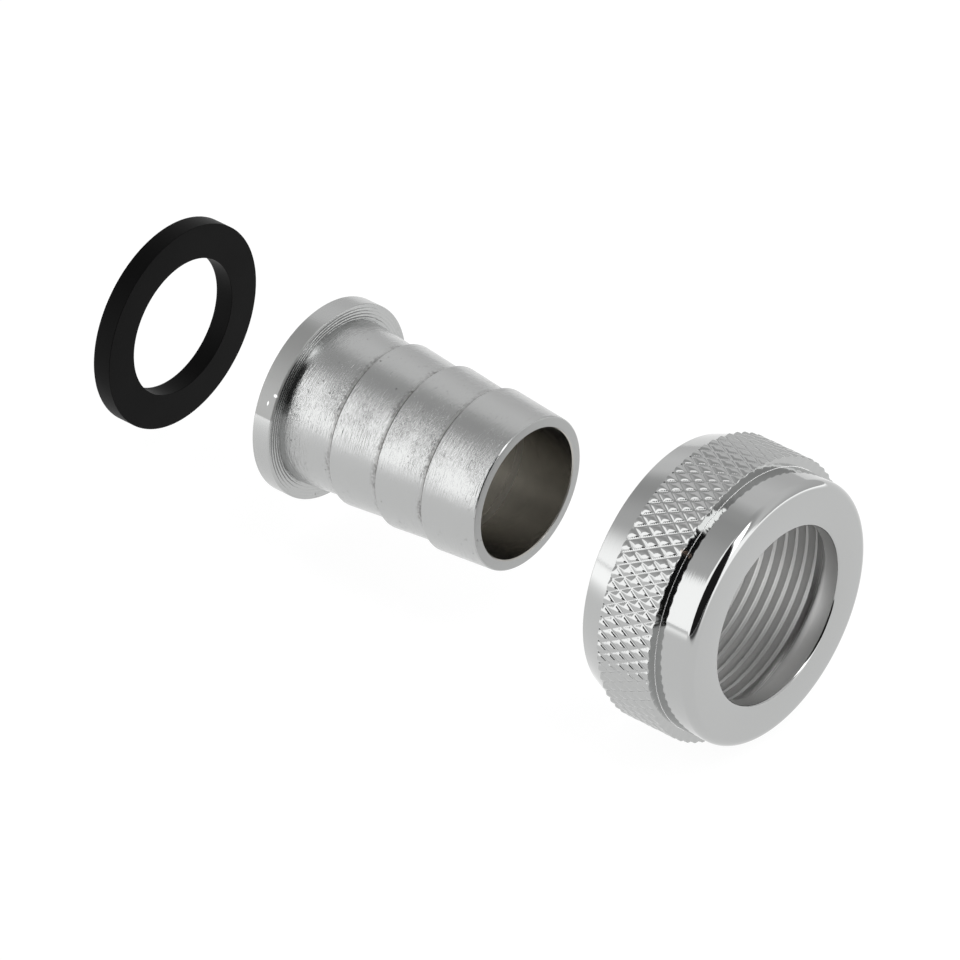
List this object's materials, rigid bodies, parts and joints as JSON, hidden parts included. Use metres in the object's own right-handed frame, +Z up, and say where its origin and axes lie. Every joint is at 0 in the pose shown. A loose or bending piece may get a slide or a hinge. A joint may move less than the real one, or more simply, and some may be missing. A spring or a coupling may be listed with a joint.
{
  "type": "hose coupling",
  "caption": "Chromed hose coupling laid out along its axis: a flat rubber washer, a flanged hose tail with barbs, and a knurled union nut with a fine female thread.",
  "frame": {"origin": "centre of the hose tail's sealing face, on the coupling's axis", "axes": "+X along the coupling's axis, from the sealing end towards the hose; +Z up"},
  "size_m": [0.0965, 0.0368, 0.0368],
  "materials": {
    "rubber": "matte black, moulded",
    "tail_chrome": "turned and chromed, fine turning marks",
    "nut_chrome": "chromed, polished collar"
  },
  "bodies": {
    "tail": {"hose_tail": "tail_chrome"},
    "washer": {"sealing_washer": "rubber"},
    "nut": {"union_nut": "nut_chrome"}
  },
  "joints": [
    {"name": "washer_slide", "type": "slide", "parent": "tail", "child": "washer", "axis": [1, 0, 0], "range_m": [0, 0.02255]},
    {"name": "nut_slide", "type": "slide", "parent": "tail", "child": "nut", "axis": [-1, 0, 0], "range_m": [0, 0.0665]}
  ]
}
